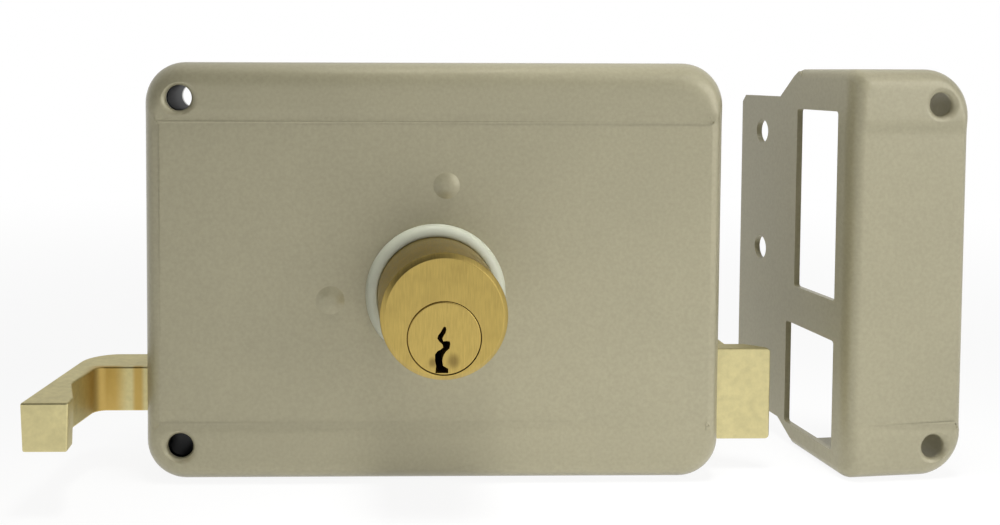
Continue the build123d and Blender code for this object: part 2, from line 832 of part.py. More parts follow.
def keeper_shell():
    """The keeper with its windows and screw holes, set in place beside the case."""
    shell = keeper_box() + keeper_flange_plate()
    x1 = 2 * keeper_sheet
    shell -= block(-overrun, x1, window_front, window_back, -window_low, window_top)
    shell -= block(-overrun, x1, window_front, latch_window_back, -latch_window_low, -latch_window_top)
    for z in (flange_hole_top, flange_hole_top - flange_hole_pitch):
        shell -= pin_x(flange_hole_back, z, flange_hole, -overrun, x1)
    for z in (keeper_hole_top, -keeper_hole_low):
        shell -= dish(keeper_hole_across, z, 0, keeper_hole, keeper_dish, keeper_dish_depth)
    return Pos(keeper_x, -keeper_y, 0) * Rot(0, 0, keeper_turn) * shell


nodes = {
    "case_shell": case_shell(),
    "case_lugs": case_lugs(),
    "back_plate": back_plate(),
    "back_plate_screws": back_plate_screws(),
    "forend_plate": forend_plate(),
    "fixing_tubes": fixing_tubes(),
    "guide_post": guide_post(),
    "lever_post": lever_post(),
    "lever_washer": lever_washer(),
    "cylinder_body": cylinder_body(),
    "chamber_cover": chamber_cover(),
    "collar_ring": collar_ring(),
    "retaining_clip": retaining_clip(),
    "plug": plug_core(),
    "key_pins": key_pins(),
    "driver_pins": driver_pins(),
    "pin_springs": pin_springs(),
    "drive_pinion": drive_pinion(),
    "drive_screws": drive_screws(),
    "deadbolt_head": deadbolt_head(),
    "deadbolt_tail": deadbolt_tail(),
    "deadbolt_rivets": deadbolt_rivets(),
    "deadbolt_spring": deadbolt_spring(),
    "latch_bolt": latch_bolt(),
    "latch_slide": latch_slide(),
    "latch_rivet": latch_rivet(),
    "pull_lever": pull_lever(),
    "pull_rivet": pull_rivet(),
    "slide_stud": slide_stud(),
    "spring_rod": spring_rod(),
    "latch_spring": latch_spring(),
    "spring_bracket": spring_bracket(),
    "retracting_lever": retracting_lever(),
    "keeper_shell": keeper_shell(),
}

os.makedirs("parts", exist_ok=True)
for name, shape in nodes.items():
    piece = Compound(children=list(shape)) if isinstance(shape, list) else shape
    export_step(piece, f"parts/{name}.step")
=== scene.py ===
import json
import math

import bmesh
import bpy
from bpy.props import FloatProperty, FloatVectorProperty, PointerProperty
from bpy.types import Operator, Panel, PropertyGroup
from mathutils import Matrix, Vector


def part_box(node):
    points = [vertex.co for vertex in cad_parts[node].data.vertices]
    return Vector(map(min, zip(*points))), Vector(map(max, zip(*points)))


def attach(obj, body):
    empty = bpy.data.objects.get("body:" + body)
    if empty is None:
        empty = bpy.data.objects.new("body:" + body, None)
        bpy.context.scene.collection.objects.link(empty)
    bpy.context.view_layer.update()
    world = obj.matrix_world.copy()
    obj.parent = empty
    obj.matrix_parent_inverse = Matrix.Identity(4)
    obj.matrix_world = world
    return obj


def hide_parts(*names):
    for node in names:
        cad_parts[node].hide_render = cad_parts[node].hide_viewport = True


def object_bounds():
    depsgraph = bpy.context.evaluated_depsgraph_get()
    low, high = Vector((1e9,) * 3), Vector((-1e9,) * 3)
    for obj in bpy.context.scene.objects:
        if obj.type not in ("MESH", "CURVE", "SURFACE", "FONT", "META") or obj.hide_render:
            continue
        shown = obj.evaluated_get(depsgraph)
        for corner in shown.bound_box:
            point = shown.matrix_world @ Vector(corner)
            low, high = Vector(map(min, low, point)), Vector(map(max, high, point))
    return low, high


bl_info = {
    "name": "Rim box lock",
    "version": (1, 0, 0),
    "blender": (4, 5, 0),
    "location": "3D View > Sidebar > Rim Lock",
    "description": "Dresses a packed rim box lock: case, cylinder, bolts, hook and keeper",
    "category": "Object",
}

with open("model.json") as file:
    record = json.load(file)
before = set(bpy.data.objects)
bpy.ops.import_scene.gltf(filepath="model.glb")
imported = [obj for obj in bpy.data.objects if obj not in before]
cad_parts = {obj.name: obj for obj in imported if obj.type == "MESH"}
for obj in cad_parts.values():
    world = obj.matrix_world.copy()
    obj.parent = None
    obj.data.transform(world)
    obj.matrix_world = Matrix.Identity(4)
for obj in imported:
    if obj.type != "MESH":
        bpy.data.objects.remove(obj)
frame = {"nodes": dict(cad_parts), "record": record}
cad_low, cad_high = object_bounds()

MM = 0.001
NEAR = 1e-6  # points closer than this count as one place
MERGE = 2e-6  # vertices closer than this are merged
CLEAR = 0.02 * MM  # room between surfaces that would otherwise lie in one plane

# Segments of a rounding: small edge, cutter's corner, bolt's tip, hook's curve, shell's corner
EDGE, CUT, TIP, CURVE, SHELL = 3, 4, 5, 10, 14

# Steps of a full turn: barrel, plug and collar, screw hole and post, flange hole, rivet hole
BARREL_TURN, PLUG_TURN, HOLE_TURN, BORE_TURN, RIVET_TURN = 128, 96, 64, 48, 32

CREASE = 28  # degrees between two faces from which their edge is rounded


def linear(code):
    """Turns an sRGB hex code into the linear colour that sockets take."""
    parts = [int(code[i:i + 2], 16) / 255 for i in (0, 2, 4)]
    return tuple(c / 12.92 if c <= 0.04045 else ((c + 0.055) / 1.055) ** 2.4 for c in parts)


def length(name, description, default):
    """A size in metres that a user may change."""
    return FloatProperty(name=name, description=description, default=default * MM, min=0,
                         precision=5, unit="LENGTH")


def colour(name, description, code):
    """A colour that a user may change."""
    return FloatVectorProperty(name=name, description=description, default=linear(code),
                               size=3, min=0, max=1, subtype="COLOR")


class CaseSizes(PropertyGroup):
    """Sizes of the pressed case."""
    sheet: length("Sheet", "Thickness of the pressed steel sheet", 1.5)
    corner: length("Corner radius", "Radius of the case's four corners, seen from the front", 7.5)
    face_round: length("Top rounding", "How far the front edge rolls in at top and bottom", 5.3)
    side_round: length("Side rounding", "How far the front edge rolls in at left and right", 3.2)
    band_depth: length("Band depth", "How far the middle band is pressed in", 0.25)
    band_top: length("Band top", "Height of the band's upper step above the cylinder", 31.9)
    band_bottom: length("Band bottom", "Depth of the band's lower step below the cylinder", 24.5)
    band_slope: length("Band slope", "Width of each step", 3.4)
    hole: length("Screw hole", "Radius of the screw holes at the left corners", 2.4)
    dish: length("Screw dish", "Radius of the rolled lip round a screw hole", 3.9)
    dish_depth: length("Dish depth", "Depth of the rolled lip round a screw hole", 1.1)
    post_hole: length("Post hole", "Radius of the holes for the two posts", 2.05)
    dome: length("Dome", "Radius at which a post's painted head runs out on the sheet", 3.1)
    gap: length("Window gap", "Room round a bolt in its window", 0.3)
    fit: length("Fit", "Room round the cylinder and the posts in their holes", 0.05)
    post_chamfer: length("Post chamfer", "Chamfer at the inner end of a post", 0.3)


class CylinderSizes(PropertyGroup):
    """Sizes of the key cylinder."""
    rim: length("Rim chamfer", "Chamfer of the cylinder's face", 0.8)
    rim_edge: length("Rim edge", "Half of the small flat at each corner of that chamfer", 0.08)
    plug: length("Plug radius", "Radius of the plug that the key turns", 6.35)
    plug_drop: length("Plug drop", "How far the plug's centre lies below the cylinder's", 3.6)
    plug_rim: length("Plug rounding", "Rounded edge of the plug's face", 0.3)
    bore_gap: length("Bore gap", "Room between the plug and its bore", 0.08)
    fit: length("Fit", "Room round parts that sit in the cylinder", 0.05)
    cover_gap: length("Cover gap", "Room round the pin chamber's cover in its slot", 0.01)
    groove: length("Groove depth", "Depth of the groove for the retaining clip", 0.8)
    keyway_length: length("Keyway depth", "How deep the keyway is cut", 25.0)
    collar_round: length("Collar rounding", "Rounding of the collar's outer edge", 1.7)
    collar_lip: length("Collar lip", "Chamfer of the collar's inner edge", 0.15)


class BoltSizes(PropertyGroup):
    """Sizes of the hook and the latch bolt."""
    hook_width: length("Hook width", "Width of the finger grip's end", 8.4)
    hook_lip: length("Hook lip", "Straight part of the grip's inner side", 3.7)
    throat_out: length("Throat place", "Distance of the throat from the case's side", 12.7)
    throat_back: length("Throat depth", "Distance of the throat from the grip's end", 12.5)
    elbow_out: length("Elbow place", "Distance of the outer elbow from the case's side", 13.8)
    inner_out: length("Inner place", "Distance of the inner corner from the case's side", 10.6)
    elbow: length("Elbow radius", "Outer radius where the hook leaves the bar", 6.0)
    inner: length("Inner radius", "Inner radius where the hook leaves the bar", 2.0)
    throat: length("Throat radius", "Radius inside the hook's throat", 1.0)
    taper: FloatProperty(name="Hook taper", default=0.93, min=0, max=1,
                         description="Width of the grip's foot as a share of its top's")
    edge: length("Edge radius", "Rounding of the castings' edges", 0.35)
    block_edge: length("Deadbolt edge", "Rounding of the deadbolt's edges", 0.15)
    seat: length("Spring seat", "Corner radius of the seat for the latch spring's rod", 1.4)
    rivet: length("Rivet hole", "Radius of the rivet holes", 1.55)
    nose: length("Nose", "Thickness of the latch bolt's front part", 4.05)
    nose_tip: length("Nose tip", "Thickness of the latch bolt at its tip", 1.0)
    nose_back: length("Nose bevel", "Length of the bevel behind the latch bolt's tip", 4.0)
    shoulder: length("Shoulder", "How far the latch bolt's full depth leaves the case", 3.9)
    nose_corner: length("Nose corner", "Rounding of the latch bolt's tip corners", 0.8)


class KeeperSizes(PropertyGroup):
    """Sizes of the keeper."""
    turn: FloatProperty(name="Turn", description="How far the keeper is turned towards the viewer",
                        default=math.radians(6.15), subtype="ANGLE")
    sheet: length("Sheet", "Thickness of the keeper's sheet", 1.2)
    width: length("Width", "Width of the keeper's front", 24.0)
    depth: length("Depth", "Depth of the keeper's box", 22.0)
    reach: length("Side plate", "Depth of the side plate with its flange", 46.2)
    edge: length("Left corners", "Radius of the front's left corners", 2.0)
    corner: length("Right corners", "Radius of the front's right corners", 8.0)
    face_round: length("Top rounding", "How far the front edge rolls in at top and bottom", 4.0)
    side_round: length("Side rounding", "How far the front edge rolls in at left and right", 2.3)
    band_depth: length("Band depth", "How far the middle band is pressed in", 0.25)
    band_top: length("Band top", "Height of the band's upper step above the cylinder", 29.9)
    band_bottom: length("Band bottom", "Depth of the band's lower step below the cylinder", 25.2)
    band_slope: length("Band slope", "Width of each step", 3.2)
    flange_top: length("Flange top", "Height of the flange's upper edge", 36.7)
    flange_bottom: length("Flange bottom", "Depth of the flange's lower edge", 32.2)
    flange_corner: length("Flange corner", "Chamfer of the flange's upper back corner", 1.5)
    shoulder: length("Upper shoulder", "Where the slope down to the flange ends above", 28.9)
    shoulder_low: length("Lower shoulder", "Where the slope up to the flange ends below", 27.5)
    window_front: length("Window front", "Distance of both windows from the front", 6.2)
    window_back: length("Deadbolt window back", "Back edge of the upper window", 21.6)
    window_top: length("Deadbolt window top", "Upper edge of the upper window", 34.3)
    window_low: length("Deadbolt window bottom", "Lower edge of the upper window", 2.7)
    latch_back: length("Latch window back", "Back edge of the lower window", 24.6)
    latch_top: length("Latch window top", "Depth of the lower window's upper edge", 10.6)
    latch_low: length("Latch window bottom", "Depth of the lower window's lower edge", 32.2)
    window_corner: length("Window corner", "Radius of the windows' corners", 0.6)
    bore: length("Flange hole", "Radius of the holes in the flange", 2.6)
    bore_back: length("Flange hole place", "Distance of the flange's holes from the front", 36.6)
    bore_top: length("Flange hole height", "Height of the flange's upper hole", 28.9)
    bore_pitch: length("Flange hole pitch", "Distance between the flange's holes", 25.8)
    hole: length("Screw hole", "Radius of the screw holes in the front", 2.25)
    dish: length("Screw dish", "Radius of the rolled lip round a screw hole", 3.6)
    dish_depth: length("Dish depth", "Depth of the rolled lip round a screw hole", 0.9)
    hole_across: length("Screw hole place", "Distance of the screw holes from the left edge", 17.6)
    hole_top: length("Upper screw hole", "Height of the upper screw hole", 35.8)
    hole_low: length("Lower screw hole", "Depth of the lower screw hole", 30.2)


class FinishColours(PropertyGroup):
    """Colours of the finishes."""
    enamel: colour("Enamel", "Satin enamel on the case and the keeper", "A6A085")
    brass: colour("Turned brass", "Cylinder and plug", "C4AB62")
    cast: colour("Cast brass", "Hook and bolts", "DDD29E")
    collar: colour("Collar", "Moulded ring round the cylinder", "B9BBA9")
    zinc: colour("Zinc", "Zinc plating on the hidden sheet parts", "B9BAB6")
    # The tube's near-black colour is painted shade inside the screw holes
    tube: colour("Tube", "Dull steel of the screw tubes", "121316")
    floor: colour("Floor", "Floor and background", "F6F6F4")


class StageSettings(PropertyGroup):
    """Light and camera."""
    key: FloatProperty(name="Key light", default=1.1, unit="POWER",
                       description="Power of the large soft lamp at the upper right")
    fill: FloatProperty(name="Fill light", default=1.75, unit="POWER",
                        description="Power of the soft lamp low at the right")
    pool: FloatProperty(name="Pool light", default=0.2, unit="POWER",
                        description="Power of the lamp over the floor in front")
    spark: FloatProperty(name="Spark", default=0.08, unit="POWER",
                         description="Power of the small lamp that gives the highlights")
    behind: FloatProperty(name="Behind", default=0.15, min=0,
                          description="Strength of the room's light behind the lock")
    room: FloatProperty(name="Room", default=0.57, min=0,
                        description="Strength of the room's light in front, near the horizon")
    ceiling: FloatProperty(name="Ceiling", default=0.65, min=0,
                           description="Strength of the room's light overhead at the back")
    lens: FloatProperty(name="Lens", default=39.298, unit="CAMERA",
                        description="Focal length of the camera")


# Meshes

def block(bm, low, high):
    """Adds a box between two corners."""
    low, high = Vector(low), Vector(high)
    verts = bmesh.ops.create_cube(bm, size=1)["verts"]
    bmesh.ops.scale(bm, vec=high - low, verts=verts)
    bmesh.ops.translate(bm, vec=(low + high) / 2, verts=verts)


def round_edges(bm, edges, radius, segments=EDGE):
    """Rolls edges over with a radius."""
    bmesh.ops.bevel(bm, geom=edges, offset=radius, offset_type="OFFSET", segments=segments,
                    affect="EDGES", profile=0.5, material=-1, clamp_overlap=True)


def lathe(bm, profile, centre, steps=PLUG_TURN):
    """Spins (radius, y) points about an axis along Y through centre, an (x, z) pair."""
    verts = [bm.verts.new((r, y, 0)) for r, y in profile]
    chain = [bm.edges.new(pair) for pair in zip(verts, verts[1:])]
    bmesh.ops.spin(bm, geom=verts + chain, cent=(0, 0, 0), axis=(0, 1, 0), angle=math.tau,
                   steps=steps, use_merge=True)
    bmesh.ops.remove_doubles(bm, verts=bm.verts, dist=NEAR / 10)
    bmesh.ops.translate(bm, vec=(centre[0], 0, centre[1]), verts=bm.verts)
    bmesh.ops.recalc_face_normals(bm, faces=bm.faces)


def slab(bm, points, low, high, along):
    """Extrudes an outline, drawn in the other two axes, from low to high along an axis."""
    axis = "XYZ".index(along)
    verts = []
    for point in points:
        place = list(point)
        place.insert(axis, low)
        verts.append(bm.verts.new(place))
    step = Vector((0, 0, 0))
    step[axis] = high - low
    face = bm.faces.new(verts)
    made = bmesh.ops.extrude_face_region(bm, geom=[face])["geom"]
    moved = [v for v in made if isinstance(v, bmesh.types.BMVert)]
    bmesh.ops.translate(bm, vec=step, verts=moved)
    bmesh.ops.recalc_face_normals(bm, faces=bm.faces)


def to_object(bm, name):
    """Turns a bmesh into an object and frees it."""
    mesh = bpy.data.meshes.new(name)
    bm.to_mesh(mesh)
    bm.free()
    piece = bpy.data.objects.new(name, mesh)
    bpy.context.scene.collection.objects.link(piece)
    return piece


def discard(piece):
    """Removes an object with its mesh."""
    mesh = piece.data
    bpy.data.objects.remove(piece)
    bpy.data.meshes.remove(mesh)


def combine(bm, others, operation="DIFFERENCE"):
    """Cuts closed shapes out of a closed shape one after another, or adds them to it."""
    for other in others:
        tool, piece = to_object(other, "tool"), to_object(bm, "whole")
        step = piece.modifiers.new("step", "BOOLEAN")
        step.operation, step.solver, step.object = operation, "EXACT", tool
        shown = piece.evaluated_get(bpy.context.evaluated_depsgraph_get())
        bm = bmesh.new()
        bm.from_mesh(shown.to_mesh())
        shown.to_mesh_clear()
        discard(piece)
        discard(tool)
    bmesh.ops.remove_doubles(bm, verts=bm.verts, dist=MERGE)
    return bm


def cutter_block(low, high, radius=0):
    """A box to cut with. A radius rounds the edges that run along X."""
    bm = bmesh.new()
    block(bm, low, high)
    if radius:
        edges = [e for e in bm.edges if abs((e.verts[0].co - e.verts[1].co).x) > NEAR]
        round_edges(bm, edges, radius, CUT)
    return bm


def cutter_hole(radius, y0, y1, centre, steps=HOLE_TURN):
    """A rod along Y to cut with."""
    bm = bmesh.new()
    lathe(bm, [(0, y0), (radius, y0), (radius, y1), (0, y1)], centre, steps)
    return bm


def rounded_rim(outer, front, radius, steps):
    """Points of a lathe profile that turn from the front to the side round a rim."""
    turns = [math.radians(90 - 90 * n / steps) for n in range(steps + 1)]
    return [(outer - radius + radius * math.cos(turn), front + radius - radius * math.sin(turn))
            for turn in turns]


def ease(share):
    """Runs from 0 to 1 with a soft start and a soft end."""
    return share * share * (3 - 2 * share)


def cutter_dish(hole, dish, depth, y, sheet, centre):
    """A hole whose mouth has a rolled lip, for a sheet with its front at y."""
    mouth, steps = 1.02 * dish, 8
    profile = [(0, y - depth), (mouth, y - depth), (mouth, y - CLEAR)]
    for n in range(steps + 1):
        turn = math.pi / 2 * n / steps
        profile.append((dish - (dish - hole) * math.sin(turn), y + depth * (1 - math.cos(turn))))
    profile += [(hole, y + 2 * sheet), (0, y + 2 * sheet)]
    bm = bmesh.new()
    lathe(bm, profile, centre, HOLE_TURN)
    return bm


def rolled_skin(x0, x1, z0, z1, depth, corners, side, face):
    """The skin of a pressed box, open at y 0, whose front edge rolls over and runs out flat.
    corners is the radius of the left corners and of the right ones. side and face are how far
    the edge rolls in across and up."""
    steps = 10
    power = 2.6  # 2 would be a quarter circle, and more makes a fuller edge
    bm = bmesh.new()
    front = -(depth - face)
    block(bm, (x0, front, z0), (x1, 0, z1))
    for sign, radius in zip((-1, 1), corners):
        posts = [e for e in bm.edges if abs((e.verts[0].co - e.verts[1].co).y) > NEAR
                 and (e.verts[0].co.x - (x0 + x1) / 2) * sign > 0
                 and abs(abs(e.verts[0].co.z - (z0 + z1) / 2) - (z1 - z0) / 2) < NEAR]
        round_edges(bm, posts, radius, SHELL)
    back = [f for f in bm.faces if f.normal.y > 0.9]
    bmesh.ops.delete(bm, geom=back, context="FACES_ONLY")
    cap = next(f for f in bm.faces if f.normal.y < -0.9)
    middle = Matrix.Translation((-(x0 + x1) / 2, 0, -(z0 + z1) / 2))
    wide, tall, reach = x1 - x0, z1 - z0, 0.0
    for n in range(1, steps + 1):
        turn = math.pi / 2 * n / steps
        new_wide = x1 - x0 - 2 * side * (1 - math.cos(turn))
        new_tall = z1 - z0 - 2 * face * (1 - math.cos(turn))
        new_reach = face * (1 - math.cos(turn) ** power) ** 0.5
        cap = bmesh.ops.extrude_discrete_faces(bm, faces=[cap])["faces"][0]
        bmesh.ops.scale(bm, vec=(new_wide / wide, 1, new_tall / tall), space=middle,
                        verts=cap.verts)
        bmesh.ops.translate(bm, vec=(0, reach - new_reach, 0), verts=cap.verts)
        wide, tall, reach = new_wide, new_tall, new_reach
    bmesh.ops.recalc_face_normals(bm, faces=bm.faces)
    if cap.normal.y > 0:
        bmesh.ops.reverse_faces(bm, faces=bm.faces)
    return bm


def press_band(bm, levels, depth, pivot):
    """Presses the skin in between the first and last of four heights, easing over the steps
    between the first two and the last two. Only what stands in front of pivot moves, and less
    the nearer it is."""
    z0, z1, z2, z3 = levels
    steps = 6
    rows = [start + (end - start) * n / steps
            for start, end in ((z0, z1), (z2, z3)) for n in range(steps + 1)]
    for z in rows:
        bmesh.ops.bisect_plane(bm, geom=bm.verts[:] + bm.edges[:] + bm.faces[:], dist=NEAR / 10,
                               plane_co=(0, 0, z), plane_no=(0, 0, 1))
    front = min(v.co.y for v in bm.verts)
    for z in rows:
        share = ease(min(1, max(0, min((z - z0) / (z1 - z0), (z3 - z) / (z3 - z2)))))
        row = [v for v in bm.verts if abs(v.co.z - z) < NEAR and v.co.y < pivot - NEAR]
        bmesh.ops.scale(bm, vec=(1, 1 - share * depth / (pivot - front), 1),
                        space=Matrix.Translation((0, -pivot, 0)), verts=row)


def absorb(bm, other):
    """Moves another bmesh's shape into this one."""
    piece = to_object(other, "part")
    bm.from_mesh(piece.data)
    discard(piece)


def pressed_shell(low, high, size, corners):
    """A box pressed from sheet, open behind. low and high are its corners, and size holds its
    sheet, roundings and band."""
    depth = high.y - low.y
    levels = (-size.band_bottom - size.band_slope, -size.band_bottom, size.band_top,
              size.band_top + size.band_slope)
    skins = []
    for wall in (0, size.sheet):
        skin = rolled_skin(low.x + wall, high.x - wall, low.z + wall, high.z - wall,
                           depth - wall, [radius - wall for radius in corners],
                           size.side_round - wall, size.face_round - wall)
        press_band(skin, levels, size.band_depth, size.face_round - depth)
        skins.append(skin)
    outer, inner = skins
    bmesh.ops.reverse_faces(inner, faces=inner.faces)
    absorb(outer, inner)
    bmesh.ops.bridge_loops(outer, edges=[e for e in outer.edges if e.is_boundary])
    bmesh.ops.translate(outer, vec=(0, high.y, 0), verts=outer.verts)
    return outer


def soft_copy(node, radius):
    """A merged copy of a CAD node with its sharp edges rounded."""
    bm = bmesh.new()
    bm.from_mesh(frame["nodes"][node].data)
    bmesh.ops.remove_doubles(bm, verts=bm.verts, dist=MERGE)
    bmesh.ops.dissolve_limit(bm, angle_limit=math.radians(1), verts=bm.verts, edges=bm.edges)
    round_edges(bm, sharp_edges(bm), radius)
    return bm


def put(bm, name, body, nodes, slot, angle=32):
    """Makes the finished piece: it rides on its body and stands for its CAD nodes. Edges of more
    than angle degrees stay sharp."""
    piece = to_object(bm, name)
    piece.data.materials.clear()
    piece.data.materials.append(finish(slot))
    piece.data.polygons.foreach_set("use_smooth", [True] * len(piece.data.polygons))
    piece.data.set_sharp_from_angle(angle=math.radians(angle))
    weights = piece.modifiers.new("even shading", "WEIGHTED_NORMAL")
    weights.keep_sharp = True
    weights.weight = 100
    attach(piece, body)
    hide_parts(*nodes)


def rivet_hole(node, radius):
    """A hole along Y for the rivet of that node, as a shape to cut with."""
    low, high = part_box(node)
    return cutter_hole(radius, low.y - MM, high.y + MM, axis_of(node), RIVET_TURN)


def axis_of(node):
    """The place in X and Z of the axis of a round CAD node that lies along Y."""
    low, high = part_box(node)
    return (low.x + high.x) / 2, (low.z + high.z) / 2


def corners_at(bm, place):
    """The upright edges of a plan outline that stand at a place in X and Y."""
    return [e for e in bm.edges
            if all((v.co.xy - Vector(place)).length < 10 * NEAR for v in e.verts)]


def sharp_edges(bm):
    """The edges at which two faces meet more sharply than CREASE."""
    bm.normal_update()
    return [e for e in bm.edges
            if len(e.link_faces) == 2 and e.calc_face_angle(0) > math.radians(CREASE)]


# Materials

SMOOTH = {"interpolation_type": "SMOOTHSTEP"}


def fill_in(tree, node, settings=None, links=None):
    """Gives a node's inputs or attributes their values and links its inputs. A link starts at a
    socket or at another node's first output."""
    for name, value in (settings or {}).items():
        if isinstance(name, int) or name in node.inputs:
            node.inputs[name].default_value = value
        else:
            setattr(node, name, value)
    for name, source in (links or {}).items():
        if isinstance(source, bpy.types.Node):
            source = source.outputs[0]
        tree.links.new(source, node.inputs[name])
    return node


def add(tree, kind, settings=None, links=None):
    """Adds a node with its settings and links. kind is its type without ShaderNode in front."""
    return fill_in(tree, tree.nodes.new("ShaderNode" + kind), settings, links)


def per(size):
    """The scale of a pattern whose features are this many millimetres across."""
    return 1 / (size * MM)


def chosen(name):
    """A finish's colour as it is set in the sidebar."""
    return tuple(getattr(bpy.context.scene.lock_finish, name))


def tinted(tree, rgb, *patterns):
    """Multiplies a colour by patterns that each run from a low to a high brightness."""
    for pattern, low, high in patterns:
        level = add(tree, "MapRange",
                    {"From Min": 0.3, "From Max": 0.7, "To Min": low, "To Max": high},
                    {"Value": pattern})
        grey = add(tree, "CombineColor", None,
                   {channel: level for channel in ("Red", "Green", "Blue")})
        mix = add(tree, "Mix",
                  {"data_type": "RGBA", "blend_type": "MULTIPLY", "Factor": 1.0}, {7: grey})
        if isinstance(rgb, tuple):
            mix.inputs[6].default_value = (*rgb, 1)
        else:
            tree.links.new(rgb, mix.inputs[6])
        rgb = mix.outputs[2]
    return rgb


def seen(tree):
    """1 for what the camera sees straight, through glass or in a reflection, and else 0."""
    ray = add(tree, "LightPath")
    most = ray.outputs["Is Camera Ray"]
    for other in ("Is Transmission Ray", "Is Glossy Ray"):
        most = add(tree, "Math", {"operation": "MAXIMUM"}, {0: most, 1: ray.outputs[other]})
    return most


def enamel(tree, shader, at):
    # Satin stoving enamel sprayed on pressed steel: a beige grey coat with a faint orange peel 0.7
    # to 0.9 mm across, slight mottling, and a soft sheen with a tight highlight on rolled edges.
    grain = add(tree, "TexNoise", {"Scale": per(2 / 3), "Detail": 2.0}, {"Vector": at})
    cloud = add(tree, "TexNoise", {"Scale": per(18.18), "Detail": 3.0}, {"Vector": at})
    peel = add(tree, "TexNoise", {"Scale": per(0.909), "Detail": 1.0}, {"Vector": at})
    rgb = tinted(tree, chosen("enamel"), (grain, 0.95, 1.05), (cloud, 0.975, 1.025))
    rough = add(tree, "MapRange", {"To Min": 0.42, "To Max": 0.5}, {"Value": cloud})
    bump = add(tree, "Bump", {"Strength": 0.12, "Distance": 0.04 * MM}, {"Height": peel})
    fill_in(tree, shader, {"Metallic": 0.3, "Coat Weight": 0.35, "Coat Roughness": 0.16},
            {"Base Color": rgb, "Roughness": rough, "Normal": bump})


def turned_brass(tree, shader, at):
    # Free-cutting brass, turned and then brushed on its face: pale gold with short fine lines,
    # about 0.1 mm in the metal and drawn 0.25 mm wide so that they show.
    stretch = add(tree, "Mapping", {"Scale": (per(0.25), per(2), per(3.125))}, {"Vector": at})
    lines = add(tree, "TexNoise", {"Scale": 1.0, "Detail": 3.0}, {"Vector": stretch})
    cloud = add(tree, "TexNoise", {"Scale": per(3.846), "Detail": 2.0}, {"Vector": at})
    rgb = tinted(tree, chosen("brass"), (lines, 0.86, 1.06), (cloud, 0.93, 1.05))
    rough = add(tree, "MapRange", {"To Min": 0.32, "To Max": 0.5}, {"Value": lines})
    bump = add(tree, "Bump", {"Strength": 0.25, "Distance": 0.03 * MM}, {"Height": lines})
    fill_in(tree, shader, {"Metallic": 1.0},
            {"Base Color": rgb, "Roughness": rough, "Normal": bump})


def cast_brass(tree, shader, at):
    # Die-cast brass, tumbled to a satin: pale straw colour with a fine grain about 1 mm across,
    # and brown painted shade in the hook's inner curve and in a strip beside the case, where shade
    # falls.
    grain = add(tree, "TexNoise", {"Scale": per(1.111), "Detail": 3.0}, {"Vector": at})
    cloud = add(tree, "TexNoise", {"Scale": per(5.556), "Detail": 3.0}, {"Vector": at})
    rgb = tinted(tree, chosen("cast"), (grain, 0.93, 1.05), (cloud, 0.95, 1.04))
    axes = add(tree, "SeparateXYZ", None, {"Vector": at})
    wall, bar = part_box("case_shell")[0].x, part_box("pull_rivet")[0].y

    # How far the middle of each strip of painted shade stands out of the case, and how far it
    # spreads
    shade_strips = []
    for out, reach in ((8.5 * MM, 4.2 * MM), (2.5 * MM, 1.4 * MM)):
        away = add(tree, "Math", {"operation": "SUBTRACT", 1: wall - out}, {0: axes.outputs["X"]})
        away = add(tree, "Math", {"operation": "ABSOLUTE"}, {0: away})
        near = add(tree, "MapRange",
                   {**SMOOTH, "From Min": reach, "From Max": reach * 0.3, "To Max": 0.75},
                   {"Value": away})
        shade_strips.append(near)
    painted_shade = add(tree, "Math", {"operation": "MAXIMUM"}, {0: shade_strips[0], 1: shade_strips[1]})

    # They fade towards the grip in front and end at the bar's inner side
    for start, end in ((bar - 11.5 * MM, bar - 5.5 * MM), (bar + 1.5 * MM, bar + 0.2 * MM)):
        fade = add(tree, "MapRange", {**SMOOTH, "From Min": start, "From Max": end},
                   {"Value": axes.outputs["Y"]})
        painted_shade = add(tree, "Math", {"operation": "MULTIPLY"}, {0: painted_shade, 1: fade})
    # Brown mixed over the brass there: the painted shade in the curve and beside the case
    shaded_brass = add(tree, "Mix", {"data_type": "RGBA", 7: (*linear("C9A44C"), 1)},
                {"Factor": painted_shade, 6: rgb})
    bump = add(tree, "Bump", {"Strength": 0.2, "Distance": 0.04 * MM}, {"Height": grain})
    fill_in(tree, shader, {"Metallic": 1.0, "Roughness": 0.5},
            {"Base Color": shaded_brass.outputs[2], "Normal": bump})


def plug_brass(tree, shader, at):
    # Brushed brass like the cylinder's, rubbed dark on both sides of the keyway by years of keys.
    # Its lines too are drawn wider than they are, at 0.28 mm.
    stretch = add(tree, "Mapping", {"Scale": (per(0.2778), per(2), per(2.381))}, {"Vector": at})
    lines = add(tree, "TexNoise", {"Scale": 1.0, "Detail": 3.0}, {"Vector": stretch})
    rgb = tinted(tree, chosen("brass"), (lines, 0.9, 1.1))

    # The middle of each rubbed spot in X and Z, and its radius
    for x, z, reach in ((-2.0 * MM, -6.2 * MM, 1.0 * MM), (1.6 * MM, -6.0 * MM, 1.5 * MM)):
        spot = add(tree, "Mapping",
                   {"Location": (-x, 0.0, -z), "Scale": (1.0, 0.0, 0.8)}, {"Vector": at})
        away = add(tree, "VectorMath", {"operation": "LENGTH"}, {0: spot})
        near = add(tree, "MapRange",
                   {**SMOOTH, "From Min": reach, "From Max": reach * 0.2, "To Max": 0.65},
                   {"Value": away.outputs["Value"]})
        rgb = add(tree, "Mix", {"data_type": "RGBA", 7: (*linear("6E5B36"), 1)},
                  {"Factor": near, 6: rgb}).outputs[2]
    bump = add(tree, "Bump", {"Strength": 0.25, "Distance": 0.03 * MM}, {"Height": lines})
    fill_in(tree, shader, {"Metallic": 1.0, "Roughness": 0.4},
            {"Base Color": rgb, "Normal": bump})


